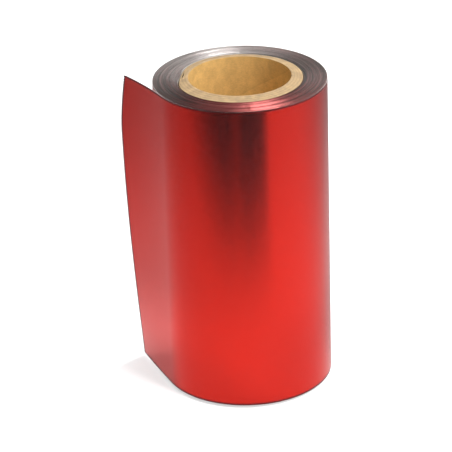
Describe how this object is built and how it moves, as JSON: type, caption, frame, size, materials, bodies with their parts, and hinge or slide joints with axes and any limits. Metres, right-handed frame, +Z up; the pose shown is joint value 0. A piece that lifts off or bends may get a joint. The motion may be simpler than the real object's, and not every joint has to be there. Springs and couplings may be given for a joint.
{
  "type": "roll of sign vinyl",
  "caption": "Roll of metallised red sign vinyl wound on a spiral-wound board core, with a free serrated tail that curls and a film end that peels off its liner.",
  "frame": {"origin": "middle of the core's lower end face, on the axis of the bore", "axes": "+Z up the roll's axis; the tail leaves at the -X side and runs towards +Y"},
  "size_m": [0.1534, 0.129, 0.2455],
  "materials": {
    "core_board": "spiral-wound board ply, pale cut edge",
    "core_bore_paper": "smooth kraft paper, golden brown, with spiral seams",
    "core_face_paper": "kraft face ply",
    "start_tape": "double-sided tissue tape",
    "web_edge": "slit edge of film and liner, silver-grey with fine concentric turns",
    "red_film": "satin metallised red film",
    "release_liner": "coated white paper"
  },
  "bodies": {
    "wound_roll": {"core_inner_ply": "core_bore_paper", "core_ply_02": "core_board", "core_ply_03": "core_board", "core_ply_04": "core_board", "core_ply_05": "core_board", "core_ply_06": "core_board", "core_ply_07": "core_board", "core_ply_08": "core_board", "core_ply_09": "core_board", "core_ply_10": "core_board", "core_ply_11": "core_board", "core_outer_ply": "core_face_paper", "start_tape": "start_tape", "web_turns_01_17": "web_edge", "web_turns_18_34": "web_edge", "web_turns_35_51": "web_edge", "web_turns_52_68": "web_edge", "outer_turn_liner": "release_liner", "outer_turn_film": "red_film", "tail_liner_root": "release_liner", "tail_film_root": "red_film"},
    "tail_1": {"tail_liner_1": "release_liner", "tail_film_1": "red_film"},
    "tail_2": {"tail_liner_2": "release_liner", "tail_film_2": "red_film"},
    "tail_3": {"tail_liner_3": "release_liner", "tail_film_3": "red_film"},
    "tail_4": {"tail_liner_4": "release_liner", "tail_film_4": "red_film"},
    "film_end": {"film_peel_end": "red_film"}
  },
  "joints": [
    {"name": "tail_bend_1", "type": "hinge", "parent": "wound_roll", "child": "tail_1", "pos_m": [-0.06172, -0.0215, 0.12275], "axis": [-0.0024, -0.0012, 1], "range_deg": [-7, 15], "stiffness_Nm_per_rad": 0.002},
    {"name": "tail_bend_2", "type": "hinge", "parent": "tail_1", "child": "tail_2", "pos_m": [-0.06685, -0.01179, 0.12275], "axis": [-0.0073, -0.0038, 1], "range_deg": [-7, 15]},
    {"name": "tail_bend_3", "type": "hinge", "parent": "tail_2", "child": "tail_3", "pos_m": [-0.07212, -0.00218, 0.12275], "axis": [-0.0142, -0.0075, 0.9999], "range_deg": [-7, 15]},
    {"name": "tail_bend_4", "type": "hinge", "parent": "tail_3", "child": "tail_4", "pos_m": [-0.07704, 0.00647, 0.12274], "axis": [-0.0222, -0.0119, 0.9997], "range_deg": [-7, 15]},
    {"name": "film_peel", "type": "hinge", "parent": "tail_4", "child": "film_end", "pos_m": [-0.08373, 0.01289, 0.12268], "axis": [-0.0307, -0.0168, 0.9994], "range_deg": [0, 140]}
  ],
  "couplings": [
    {"joint": "tail_bend_2", "follows": "tail_bend_1", "ratio": 1},
    {"joint": "tail_bend_3", "follows": "tail_bend_1", "ratio": 1},
    {"joint": "tail_bend_4", "follows": "tail_bend_1", "ratio": 1}
  ]
}
